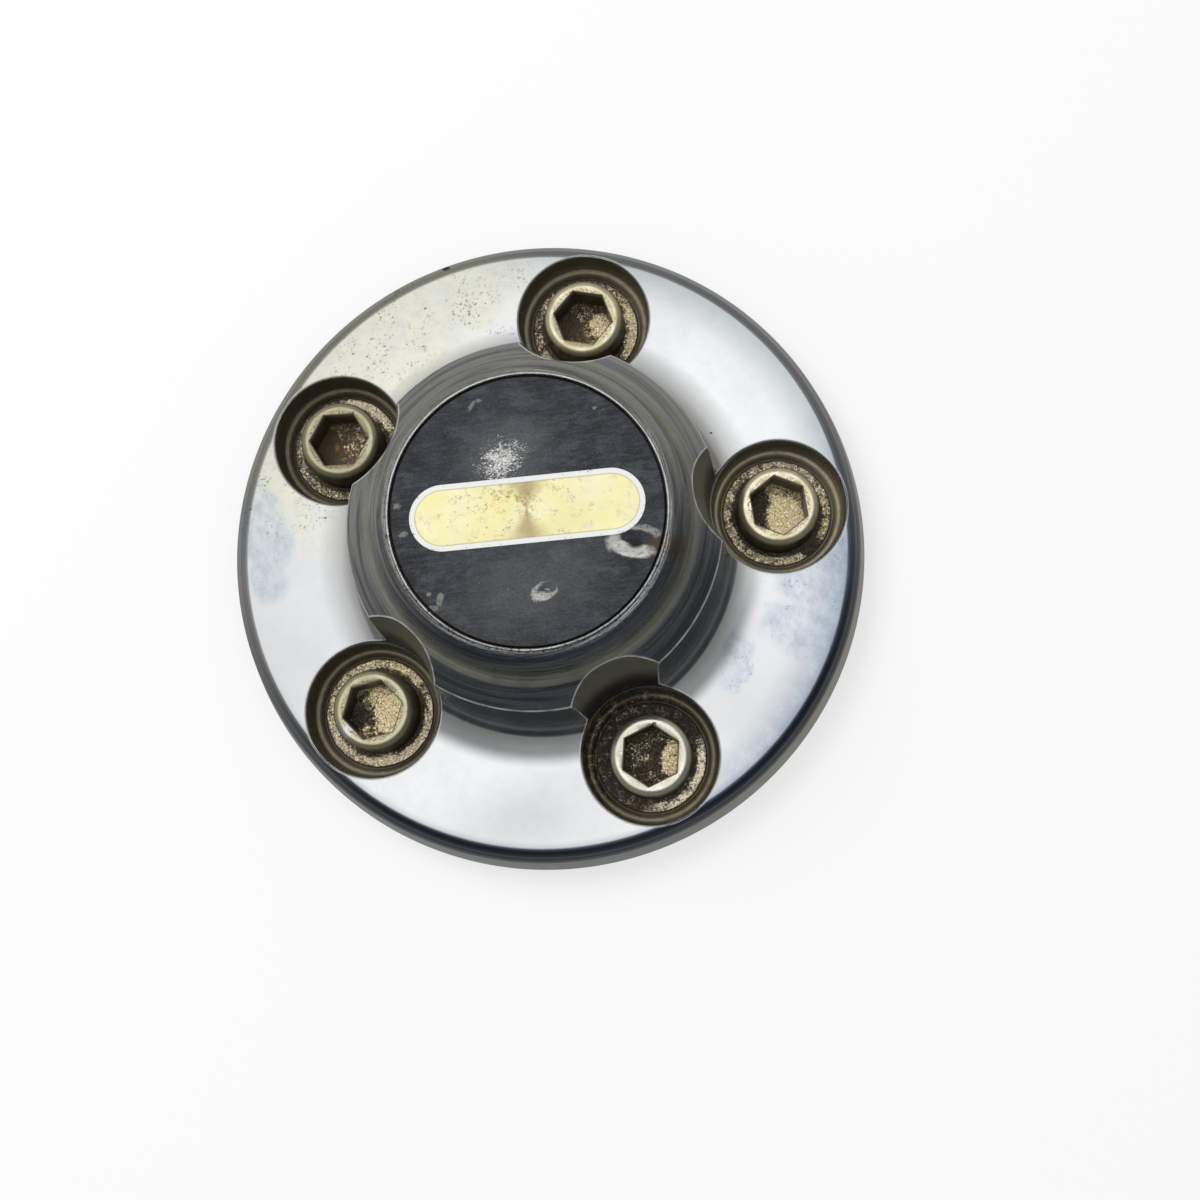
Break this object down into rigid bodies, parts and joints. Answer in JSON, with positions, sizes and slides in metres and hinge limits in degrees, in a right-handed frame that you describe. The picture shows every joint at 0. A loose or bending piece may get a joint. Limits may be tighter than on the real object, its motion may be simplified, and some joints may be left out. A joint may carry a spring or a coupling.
{
  "type": "wheel center cap",
  "caption": "Chromed center cap for a car wheel: flat flange with a drafted skirt, raised hub with scalloped lug pockets and hexagon-socket bosses, dark emblem disc, snap fingers behind.",
  "frame": {"origin": "centre of the skirt's bottom edge, in the rim plane on which the cap rests", "axes": "+Z along the cap's axis towards the emblem disc; +X from the axis to one of the lug pockets"},
  "size_m": [0.1644, 0.1644, 0.0508],
  "materials": {
    "cap_shell": "bright chrome plating on a moulded plastic, scuffed and tarnished, with brown grime in the lug pockets",
    "emblem_disc": "charcoal lacquer on aluminium, scuffed, with small dents",
    "spring_ring": "plain drawn spring wire"
  },
  "bodies": {
    "root": {"cap_shell": "cap_shell", "emblem_disc": "emblem_disc", "spring_ring": "spring_ring"}
  },
  "joints": []
}
